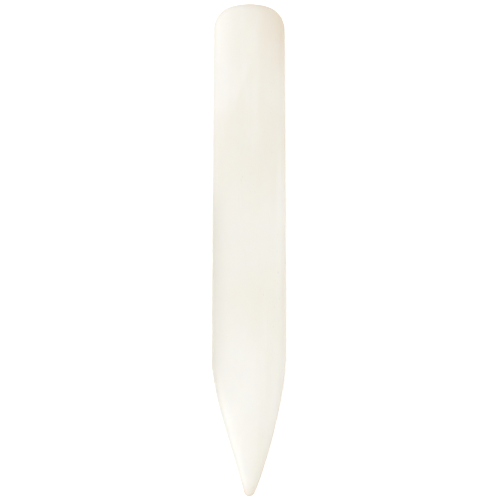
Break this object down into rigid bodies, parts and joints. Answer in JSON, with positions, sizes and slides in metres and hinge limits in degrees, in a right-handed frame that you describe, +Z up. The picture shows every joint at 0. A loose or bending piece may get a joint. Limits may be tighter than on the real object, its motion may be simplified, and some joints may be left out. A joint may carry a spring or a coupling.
{
  "type": "bone folder",
  "caption": "Flat polished strip of natural bone for creasing and scoring paper, with a broad rounded end and a long slender point.",
  "frame": {"origin": "on the surface the blade lies on, under the middle of its bounding box", "axes": "+Z up through the blade's thickness, +Y along its length towards the broad rounded end, -Y towards the point, +X across it"},
  "size_m": [0.0229, 0.1524, 0.003],
  "materials": {
    "polished_bone": "satin"
  },
  "bodies": {
    "root": {"bone_blade": "polished_bone"}
  },
  "joints": []
}
